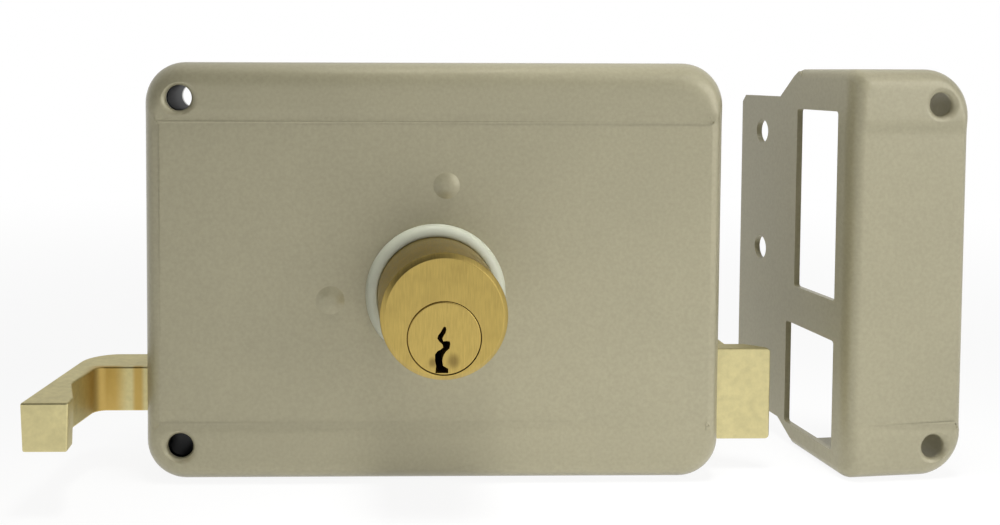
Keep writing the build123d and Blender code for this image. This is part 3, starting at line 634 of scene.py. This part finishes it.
def moulded_ring(tree, shader, at):
    # Moulded nylon ring: pale grey, slightly waxy, with a soft highlight and faint clouding.
    cloud = add(tree, "TexNoise", {"Scale": per(3.333), "Detail": 2.0}, {"Vector": at})
    rgb = tinted(tree, chosen("collar"), (cloud, 0.96, 1.04))
    fill_in(tree, shader, {"Roughness": 0.35}, {"Base Color": rgb})


def mottled_steel(tree, shader, at, rgb, roughness, spangle):
    """Grey metal mottled in patches of a size in millimetres, with a finer grain over them."""
    cells = add(tree, "TexVoronoi", {"Scale": per(spangle)}, {"Vector": at})
    fine = add(tree, "TexNoise", {"Scale": per(0.5), "Detail": 2.0}, {"Vector": at})
    tone = add(tree, "SeparateColor", None, {"Color": cells.outputs["Color"]})
    shade = tinted(tree, rgb, (tone, 0.93, 1.03), (fine, 0.95, 1.04))
    bump = add(tree, "Bump", {"Strength": 0.1, "Distance": 0.03 * MM}, {"Height": fine})
    fill_in(tree, shader, {"Metallic": 1.0, "Roughness": roughness},
            {"Base Color": shade, "Normal": bump})


def zinc(tree, shader, at):
    # Zinc-plated sheet steel: light grey with a crystalline mottling a few millimetres across.
    mottled_steel(tree, shader, at, chosen("zinc"), 0.42, 2.5)


def painted_shade_tube(tree, shader, at):
    # Drawn steel tube, coloured near black as painted shade so that the screw holes look deep.
    mottled_steel(tree, shader, at, chosen("tube"), 0.55, 1.43)


def turned_steel(tree, shader, at):
    # Turned bright steel: smoother than the plated sheet and slightly warm.
    mottled_steel(tree, shader, at, linear("C8C6C0"), 0.3, 1.111)


def spring_steel(tree, shader, at):
    # Hard-drawn spring wire: a darker, even grey.
    mottled_steel(tree, shader, at, linear("8E8F90"), 0.35, 1.111)


def white_board(tree, shader, at):
    # White studio board. To the camera, and in reflections, it shows almost pure white and keeps a
    # little of its own shading, so that the object's shadow stays. Further out it is all white.
    near_lock, far_out = 0.12, 0.5
    glow = add(tree, "Emission", {"Color": (1, 1, 1, 1)})
    away = add(tree, "VectorMath", {"operation": "LENGTH"}, {0: at})
    white = add(tree, "MapRange",
                {**SMOOTH, "From Min": near_lock, "From Max": far_out, "To Min": 0.9},
                {"Value": away.outputs["Value"]})
    share = add(tree, "Math", {"operation": "MULTIPLY"}, {0: seen(tree), 1: white})
    fill_in(tree, shader, {"Base Color": (*chosen("floor"), 1), "Roughness": 0.9,
                           "Specular IOR Level": 0.1})
    mix = add(tree, "MixShader", None, {0: share, 1: shader, 2: glow})
    output = next(n for n in tree.nodes if n.type == "OUTPUT_MATERIAL")
    fill_in(tree, output, None, {"Surface": mix})


# The material of each slot, and of the floor
FINISHES = {
    "case_enamel": ("stoved enamel on steel", enamel),
    "brass": ("brushed turned brass", turned_brass),
    "plug_brass": ("brushed plug brass", plug_brass),
    "bolt_brass": ("tumbled cast brass", cast_brass),
    "collar": ("moulded grey nylon", moulded_ring),
    "steel": ("zinc-plated sheet steel", zinc),
    "dark_steel": ("drawn steel tube", painted_shade_tube),
    "screw_steel": ("turned bright steel", turned_steel),
    "spring_steel": ("spring steel wire", spring_steel),
    "floor": ("white studio board", white_board),
}


def finish(slot):
    """The material of a slot, made when it is first asked for."""
    name, build = FINISHES[slot]
    material = bpy.data.materials.get(name)
    if material is None:
        material = bpy.data.materials.new(name)
        material.use_nodes = True
        tree = material.node_tree
        shader = next(n for n in tree.nodes if n.type == "BSDF_PRINCIPLED")
        build(tree, shader, add(tree, "TexCoord").outputs["Object"])
    return material


class LOCK_OT_case(Operator):
    """Presses the case from sheet, with its band, rolled edges, dished holes and windows"""
    bl_idname = "lock.case"
    bl_label = "Case"

    def execute(self, context):
        size = context.scene.lock_case
        low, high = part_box("case_shell")
        shell = pressed_shell(low, Vector((high.x, 0, high.z)), size, (size.corner, size.corner))
        outside, inside = low.y - MM, low.y + 2 * size.sheet

        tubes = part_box("fixing_tubes")
        x = (tubes[0].x + tubes[1].x) / 2
        half = (tubes[1].x - tubes[0].x) / 2
        cutters = [cutter_dish(size.hole, size.dish, size.dish_depth, low.y, size.sheet, (x, z))
                   for z in (tubes[1].z - half, tubes[0].z + half)]
        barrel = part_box("cylinder_body")
        radius = (barrel[1].x - barrel[0].x) / 2 + size.fit
        cutters.append(cutter_hole(radius, outside, inside, (0, 0)))
        for node in ("guide_post", "lever_post"):
            cutters.append(cutter_hole(size.post_hole, outside, inside, axis_of(node), RIVET_TURN))

        # The bolts' windows at the right, and the pull bar's at the left
        for node in ("deadbolt_head", "latch_bolt"):
            a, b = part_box(node)
            cutters.append(cutter_block(
                (high.x - 2 * size.sheet, a.y - size.gap, a.z - size.gap),
                (high.x + MM, b.y + size.gap, b.z + size.gap)))
        bar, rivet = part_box("pull_lever"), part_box("pull_rivet")
        cutters.append(cutter_block(
            (low.x - MM, rivet[0].y - size.gap, bar[0].z - size.gap),
            (low.x + 2 * size.sheet, rivet[1].y + size.gap, bar[1].z + size.gap)))
        put(combine(shell, cutters), "case_cover", "root", ["case_shell"], "case_enamel")
        return {"FINISHED"}


class LOCK_OT_posts(Operator):
    """Turns the two posts whose painted heads show as soft bumps on the case"""
    bl_idname = "lock.posts"
    bl_label = "Posts"

    def execute(self, context):
        size = context.scene.lock_case
        stem = size.post_hole - size.fit
        sheet_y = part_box("case_shell")[0].y + size.band_depth
        inner = sheet_y - size.band_depth + size.sheet
        steps = 10
        for node in ("guide_post", "lever_post"):
            low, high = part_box(node)
            centre = axis_of(node)
            profile = [(size.dome * n / steps,
                        low.y + (sheet_y - low.y) * ease((n / steps) ** 1.5))
                       for n in range(steps + 1)]
            profile.append((stem, sheet_y))
            if node == "lever_post":
                collar = high.x - centre[0]
                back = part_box("retracting_lever")[0].y - size.fit
                profile += [(stem, inner), (collar, inner), (collar, back), (stem, back)]
            profile += [(stem, high.y - size.post_chamfer), (stem - size.post_chamfer, high.y),
                        (0, high.y)]
            bm = bmesh.new()
            lathe(bm, profile, centre, HOLE_TURN)
            put(bm, node + "_head", "root", [node], "case_enamel", 50)
        return {"FINISHED"}


class LOCK_OT_cylinder(Operator):
    """Turns the cylinder's body and bores it for the plug"""
    bl_idname = "lock.cylinder"
    bl_label = "Cylinder"

    def execute(self, context):
        size = context.scene.lock_cylinder
        low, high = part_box("cylinder_body")
        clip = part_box("retaining_clip")
        radius = (high.x - low.x) / 2
        groove = radius - size.groove
        rim, edge = size.rim, size.rim_edge
        profile = [(0, low.y), (radius - rim - edge, low.y), (radius - rim + edge, low.y + edge),
                   (radius - edge, low.y + rim - edge), (radius, low.y + rim + edge),
                   (radius, clip[0].y - size.fit), (groove, clip[0].y - size.fit),
                   (groove, clip[1].y + size.fit), (radius, clip[1].y + size.fit),
                   (radius, high.y), (0, high.y)]
        body = bmesh.new()
        lathe(body, profile, (0, 0), BARREL_TURN)
        bore = cutter_hole(size.plug + size.bore_gap, low.y - MM, high.y + MM,
                           (0, -size.plug_drop), PLUG_TURN)
        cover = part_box("chamber_cover")
        room = Vector((1, 1, 1)) * size.cover_gap
        slot = cutter_block(cover[0] - room, cover[1] + room + Vector((0, 0, MM)))
        put(combine(body, [bore, slot]), "cylinder_barrel", "root", ["cylinder_body"], "brass")
        return {"FINISHED"}


# The keyway's wavy outline, as shares of the plug's radius from its centre
KEYWAY = ((-0.03, 0.30), (0.0, 0.325), (0.04, 0.31), (0.055, 0.24), (0.03, 0.15), (-0.02, 0.07),
          (-0.05, 0.0), (-0.03, -0.08), (0.06, -0.065), (0.15, -0.08), (0.16, -0.17),
          (0.14, -0.27), (0.06, -0.34), (0.0, -0.42), (-0.04, -0.52), (-0.05, -0.62),
          (-0.03, -0.74), (0.04, -0.78), (0.11, -0.82), (0.11, -0.94), (-0.24, -0.94),
          (-0.22, -0.75), (-0.25, -0.6), (-0.25, -0.43), (-0.18, -0.34), (-0.1, -0.3),
          (-0.03, -0.24), (-0.05, -0.16), (-0.14, -0.08), (-0.19, 0.0), (-0.17, 0.08),
          (-0.11, 0.16))


class LOCK_OT_plug(Operator):
    """Turns the plug and cuts its keyway"""
    bl_idname = "lock.plug"
    bl_label = "Plug"

    def execute(self, context):
        size = context.scene.lock_cylinder
        low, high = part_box("plug")
        profile = [(0, low.y), *rounded_rim(size.plug, low.y, size.plug_rim, steps=4),
                   (size.plug, high.y), (0, high.y)]
        body = bmesh.new()
        lathe(body, profile, (0, -size.plug_drop))
        outline = [(x * size.plug, z * size.plug - size.plug_drop) for x, z in KEYWAY]
        keyway = bmesh.new()
        slab(keyway, outline, low.y - MM, low.y + size.keyway_length, "Y")
        put(combine(body, [keyway]), "key_plug", "key_drive", ["plug"], "plug_brass")
        return {"FINISHED"}


class LOCK_OT_collar(Operator):
    """Turns the moulded ring round the cylinder"""
    bl_idname = "lock.collar"
    bl_label = "Collar"

    def execute(self, context):
        size = context.scene.lock_cylinder
        low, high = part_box("collar_ring")
        outer = (high.x - low.x) / 2
        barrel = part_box("cylinder_body")
        bore = (barrel[1].x - barrel[0].x) / 2 + CLEAR
        profile = [(bore, high.y), (bore, low.y + size.collar_lip),
                   (bore + size.collar_lip, low.y),
                   *rounded_rim(outer, low.y, size.collar_round, steps=8),
                   (outer, high.y), (bore, high.y)]
        bm = bmesh.new()
        lathe(bm, profile, (0, 0))
        put(bm, "collar", "root", ["collar_ring"], "collar", 50)
        return {"FINISHED"}


class LOCK_OT_hook(Operator):
    """Casts the pull bar with its hook"""
    bl_idname = "lock.hook"
    bl_label = "Pull hook"

    def execute(self, context):
        size = context.scene.lock_bolts
        low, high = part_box("pull_lever")
        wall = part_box("case_shell")[0].x
        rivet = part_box("pull_rivet")
        y0, y1 = rivet[0].y, rivet[1].y
        lip = low.x + size.hook_width
        throat = (wall - size.throat_out, low.y + size.throat_back)
        elbow = (wall - size.elbow_out, y1)
        inner = (wall - size.inner_out, y0)
        points = [(high.x, y1), elbow, (low.x, low.y), (lip, low.y),
                  (lip, low.y + size.hook_lip), throat, inner, (high.x, y0)]
        bm = bmesh.new()
        slab(bm, points, low.z, high.z, "Z")
        for place, radius in ((elbow, size.elbow), (inner, size.inner), (throat, size.throat)):
            round_edges(bm, corners_at(bm, place), radius, CURVE)
        # The grip's foot is a little narrower than its top
        foot = [v for v in bm.verts
                if v.co.z < low.z + NEAR and v.co.y < low.y + size.hook_lip + NEAR]
        middle = Matrix.Translation((-(low.x + lip) / 2, 0, 0))
        bmesh.ops.scale(bm, vec=(size.taper, 1, 1), space=middle, verts=foot)
        round_edges(bm, sharp_edges(bm), size.edge)
        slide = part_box("latch_slide")
        slot = cutter_block((slide[0].x, slide[0].y, low.z - MM),
                            (high.x + MM, slide[1].y, high.z + MM))
        put(combine(bm, [slot, rivet_hole("pull_rivet", size.rivet)]), "pull_hook", "latch",
            ["pull_lever"], "bolt_brass")
        return {"FINISHED"}


class LOCK_OT_bolts(Operator):
    """Casts the latch bolt with its bevelled nose, and finishes the deadbolt"""
    bl_idname = "lock.bolts"
    bl_label = "Bolts"

    def execute(self, context):
        size = context.scene.lock_bolts
        low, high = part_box("latch_bolt")
        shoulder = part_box("case_shell")[1].x + size.shoulder
        points = [(low.x, low.y), (high.x, low.y), (high.x, low.y + size.nose_tip),
                  (high.x - size.nose_back, low.y + size.nose), (shoulder, low.y + size.nose),
                  (shoulder, high.y), (low.x, high.y)]
        bm = bmesh.new()
        slab(bm, points, low.z, high.z, "Z")
        tip = [e for e in bm.edges if all(v.co.x > high.x - NEAR for v in e.verts)
               and abs(e.verts[0].co.y - e.verts[1].co.y) > NEAR]
        round_edges(bm, tip, size.nose_corner, TIP)
        round_edges(bm, sharp_edges(bm), size.edge)
        slide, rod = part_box("latch_slide"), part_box("spring_rod")
        slot = cutter_block((low.x - MM, slide[0].y, slide[0].z), slide[1])
        seat = cutter_block((low.x - MM, rod[0].y, rod[0].z), rod[1], size.seat)
        put(combine(bm, [slot, seat, rivet_hole("latch_rivet", size.rivet)]), "latch_nose",
            "latch", ["latch_bolt"], "bolt_brass")
        put(soft_copy("deadbolt_head", size.block_edge), "deadbolt_block", "deadbolt",
            ["deadbolt_head"], "bolt_brass")
        return {"FINISHED"}


class LOCK_OT_keeper(Operator):
    """Presses the keeper, with its side plate, windows and dished holes"""
    bl_idname = "lock.keeper"
    bl_label = "Keeper"

    def execute(self, context):
        size = context.scene.lock_keeper
        low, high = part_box("keeper_shell")
        sheet, depth = size.sheet, size.depth

        # Its own axes: X across the front, Y back from the front
        box = pressed_shell(Vector((0, 0, low.z)), Vector((size.width, depth, high.z)), size,
                            (size.edge, size.corner))

        # The side plate's outline as places in Y and Z, from its lower front corner
        start = depth - 2 * sheet
        bottom, top = low.z + size.edge, high.z - size.edge
        outline = [(start, bottom), (depth, bottom - sheet / 2),
                   (size.shoulder_low, -size.flange_bottom), (size.reach, -size.flange_bottom),
                   (size.reach, size.flange_top - size.flange_corner),
                   (size.reach - size.flange_corner, size.flange_top),
                   (size.shoulder, size.flange_top), (depth + sheet, top + sheet / 2),
                   (depth - sheet / 2, high.z - sheet / 3), (start, top)]
        plate = bmesh.new()
        slab(plate, outline, 0, sheet, "X")
        shell = combine(box, [plate], "UNION")

        side = -MM, 2 * sheet
        cutters = [cutter_block((side[0], size.window_front, -size.window_low),
                                (side[1], size.window_back, size.window_top), size.window_corner),
                   cutter_block((side[0], size.window_front, -size.latch_low),
                                (side[1], size.latch_back, -size.latch_top), size.window_corner)]
        for z in (size.bore_top, size.bore_top - size.bore_pitch):
            bore = cutter_hole(size.bore, -side[1], -side[0], (0, z), BORE_TURN)
            bmesh.ops.rotate(bore, cent=(0, 0, 0), verts=bore.verts,
                             matrix=Matrix.Rotation(math.pi / 2, 3, "Z"))
            bmesh.ops.translate(bore, vec=(0, size.bore_back, 0), verts=bore.verts)
            cutters.append(bore)
        for z in (size.hole_top, -size.hole_low):
            cutters.append(cutter_dish(size.hole, size.dish, size.dish_depth, 0, sheet,
                                       (size.hole_across, z)))
        shell = combine(shell, cutters)

        # Turned, and set so that the flange's end fills the frame's box
        bmesh.ops.rotate(shell, cent=(0, 0, 0), verts=shell.verts,
                         matrix=Matrix.Rotation(size.turn, 3, "Z"))
        place = (low.x + math.sin(size.turn) * size.reach,
                 high.y - math.cos(size.turn) * size.reach - math.sin(size.turn) * sheet, 0)
        bmesh.ops.translate(shell, vec=place, verts=shell.verts)
        put(shell, "keeper_box", "root", ["keeper_shell"], "case_enamel")
        return {"FINISHED"}


class LOCK_OT_works(Operator):
    """Gives the carried-over parts their finishes"""
    bl_idname = "lock.works"
    bl_label = "Inner works"

    def execute(self, context):
        for part in frame["record"]["subparts"]:
            node = frame["nodes"][part["node"]]
            if not node.hide_render:
                node.data.materials.clear()
                node.data.materials.append(finish(part["material_slot"]))
        return {"FINISHED"}


# Name of a lamp, its side in metres, where it stands, what it points at and its spread in degrees:
# a large soft key, a low fill, a pool of light on the floor in front that comes back from below,
# and a small lamp for the highlights
LAMPS = (("key", 0.6, (0.45, -0.4, 0.5), (0.0, -0.02, 0.0), 180),
         ("fill", 0.5, (0.7, -0.5, 0.24), (0.0, -0.02, 0.0), 180),
         ("pool", 0.15, (0.04, -0.1, 0.4), (0.04, -0.1, -0.03), 40),
         ("spark", 0.06, (0.3, -0.38, 0.5), (0.0, -0.02, 0.0), 180))

# The camera as it was fitted to the case's edges: its place in metres, its turns about the right,
# down and forward axes in radians, and its shift
CAMERA_PLACE = (-0.015807, -0.225751, 0.041834)
CAMERA_TURNS = (0.0454, 0.0193, 0.0028)
CAMERA_SHIFT = (0.12685, -0.14171)


class LOCK_OT_stage(Operator):
    """Sets the floor, the lamps and the camera"""
    bl_idname = "lock.stage"
    bl_label = "Stage"

    def execute(self, context):
        scene = context.scene
        self.set_floor()
        self.set_room(scene)
        self.set_lamps(scene)
        self.set_camera(scene)
        scene.view_settings.view_transform = "Standard"
        return {"FINISHED"}

    def set_floor(self):
        bm = bmesh.new()
        bmesh.ops.create_grid(bm, x_segments=1, y_segments=1, size=6)
        bmesh.ops.translate(bm, vec=(0, 0, cad_low.z - CLEAR), verts=bm.verts)
        floor = to_object(bm, "floor")
        floor.data.materials.append(finish("floor"))

    def set_room(self, scene):
        # The room is white behind the lock, up to a little above the horizon, and dimmer in front
        # and overhead. Its light from behind is weaker than it looks.
        stage = scene.lock_stage
        world = bpy.data.worlds.new("studio")
        scene.world = world
        world.use_nodes = True
        tree = world.node_tree
        tree.nodes.clear()
        behind = add(tree, "MapRange", {"To Min": stage.behind}, {"Value": seen(tree)})
        place = add(tree, "TexCoord")
        axes = add(tree, "SeparateXYZ", None, {"Vector": place.outputs["Generated"]})
        from_front = {**SMOOTH, "From Min": -0.3, "From Max": 0.3}
        around = add(tree, "MapRange", {**from_front, "To Min": stage.room},
                     {"Value": axes.outputs["Y"], "To Max": behind})
        above = add(tree, "MapRange", {**from_front, "To Max": stage.ceiling},
                    {"Value": axes.outputs["Y"]})
        level = add(tree, "MapRange", {**SMOOTH, "From Min": 0.1, "From Max": 0.35},
                    {"Value": axes.outputs["Z"], "To Min": around, "To Max": above})
        room = add(tree, "Background", {"Color": (1, 1, 1, 1)}, {"Strength": level})
        add(tree, "OutputWorld", None, {"Surface": room})

    def set_lamps(self, scene):
        for name, side, place, target, spread in LAMPS:
            lamp = bpy.data.lights.new(name, "AREA")
            lamp.energy = getattr(scene.lock_stage, name)
            lamp.size = side
            lamp.spread = math.radians(spread)
            holder = bpy.data.objects.new(name, lamp)
            holder.location = place
            aim = Vector(target) - Vector(place)
            holder.rotation_euler = aim.to_track_quat("-Z", "Y").to_euler()
            holder.visible_camera = False
            holder.visible_glossy = name != "pool"
            scene.collection.objects.link(holder)

    def set_camera(self, scene):
        lens = bpy.data.cameras.new("camera")
        lens.sensor_width = 36
        lens.lens = scene.lock_stage.lens
        lens.shift_x, lens.shift_y = CAMERA_SHIFT
        lens.clip_start = 0.01
        camera = bpy.data.objects.new("camera", lens)
        about_right, about_down, about_forward = CAMERA_TURNS
        turn = (Matrix.Rotation(about_right, 3, "X") @ Matrix.Rotation(about_down, 3, "Z")
                @ Matrix.Rotation(about_forward, 3, "Y"))
        level = Matrix(((1, 0, 0), (0, 0, -1), (0, 1, 0)))
        right, down, forward = level @ turn
        axes = Matrix((right, -down, -forward)).transposed()
        camera.matrix_world = Matrix.LocRotScale(Vector(CAMERA_PLACE), axes, None)
        scene.collection.objects.link(camera)
        scene.camera = camera


class LOCK_PT_panel(Panel):
    """Lists the lock's pieces, sizes and finishes"""
    bl_idname = "LOCK_PT_panel"
    bl_label = "Rim Lock"
    bl_space_type = "VIEW_3D"
    bl_region_type = "UI"
    bl_category = "Rim Lock"

    def draw(self, context):
        for group in GROUPS:
            box = self.layout.box()
            settings = getattr(context.scene, group)
            for name in settings.__annotations__:
                box.prop(settings, name)
        for step in STEPS:
            self.layout.operator(step.bl_idname)


GROUPS = {"lock_case": CaseSizes, "lock_cylinder": CylinderSizes, "lock_bolts": BoltSizes,
          "lock_keeper": KeeperSizes, "lock_finish": FinishColours, "lock_stage": StageSettings}
STEPS = (LOCK_OT_case, LOCK_OT_posts, LOCK_OT_cylinder, LOCK_OT_plug, LOCK_OT_collar, LOCK_OT_hook,
         LOCK_OT_bolts, LOCK_OT_keeper, LOCK_OT_works, LOCK_OT_stage)


def register():
    for made in (*GROUPS.values(), *STEPS, LOCK_PT_panel):
        bpy.utils.register_class(made)
    for name, group in GROUPS.items():
        setattr(bpy.types.Scene, name, PointerProperty(type=group))


def unregister():
    for name in GROUPS:
        delattr(bpy.types.Scene, name)
    for made in reversed((*GROUPS.values(), *STEPS, LOCK_PT_panel)):
        bpy.utils.unregister_class(made)


def main():
    register()
    for step in STEPS:
        group, name = step.bl_idname.split(".")
        getattr(getattr(bpy.ops, group), name)()


if __name__ == "__main__":
    main()
